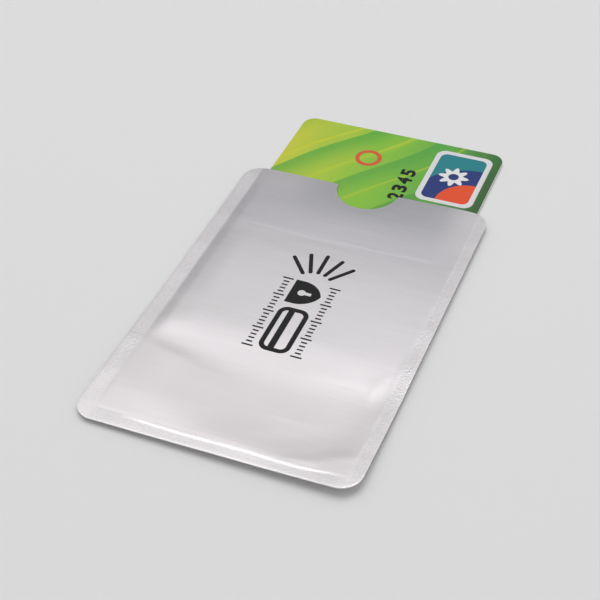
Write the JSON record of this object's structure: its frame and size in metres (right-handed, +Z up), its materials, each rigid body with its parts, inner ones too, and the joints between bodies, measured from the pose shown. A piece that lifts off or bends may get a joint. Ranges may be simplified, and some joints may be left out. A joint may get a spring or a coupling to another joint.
{
  "type": "rfid card sleeve",
  "caption": "Flat foil-laminated sleeve, heat-sealed on three edges with a thumb notch at its open end, holding one standard plastic card that slides out.",
  "frame": {"origin": "middle of the sleeve's flat back, on the surface that it lies on", "axes": "+Y along the sleeve towards its open mouth, +Z up through the front web, +X to the right of the print side"},
  "size_m": [0.0628, 0.1174, 0.0012],
  "materials": {
    "silver_film": "satin metallised film with fine cross streaks",
    "foil": "bright rolled foil",
    "seal_film": "clear to milky heat-seal film",
    "black_ink": "printed, dull",
    "card_art": "glossy printed face, yellow-green to deep green",
    "card_core": "white sheet, cut edge",
    "card_back": "glossy pale green",
    "antenna_copper": "etched copper",
    "magnetic_tape": "smooth dark brown-black tape",
    "signature_paper": "dull writable panel",
    "contact_gold": "gold plate",
    "adhesive": "translucent hot-melt",
    "potting": "dark resin",
    "white_ink": "printed, glossy",
    "teal_ink": "printed, glossy",
    "orange_ink": "printed, glossy"
  },
  "bodies": {
    "sleeve": {"front_face_film": "silver_film", "front_foil": "foil", "front_seal_film": "seal_film", "back_face_film": "silver_film", "back_foil": "foil", "back_seal_film": "seal_film", "left_seam": "seal_film", "right_seam": "seal_film", "bottom_seam": "seal_film", "sleeve_print": "black_ink"},
    "card": {"card_front_overlay": "card_art", "card_front_sheet": "card_core", "antenna_inlay": "card_core", "antenna_coil": "antenna_copper", "card_back_sheet": "card_core", "card_back_overlay": "card_back", "magnetic_stripe": "magnetic_tape", "signature_panel": "signature_paper", "chip_plate": "contact_gold", "chip_adhesive": "adhesive", "chip_potting": "potting", "card_digits": "black_ink", "badge_tile": "white_ink", "badge_field": "teal_ink", "ring_mark": "orange_ink"}
  },
  "joints": [
    {"name": "card_slide", "type": "slide", "parent": "sleeve", "child": "card", "axis": [0, 1, 0], "range_m": [-0.0271, 0.062]}
  ]
}
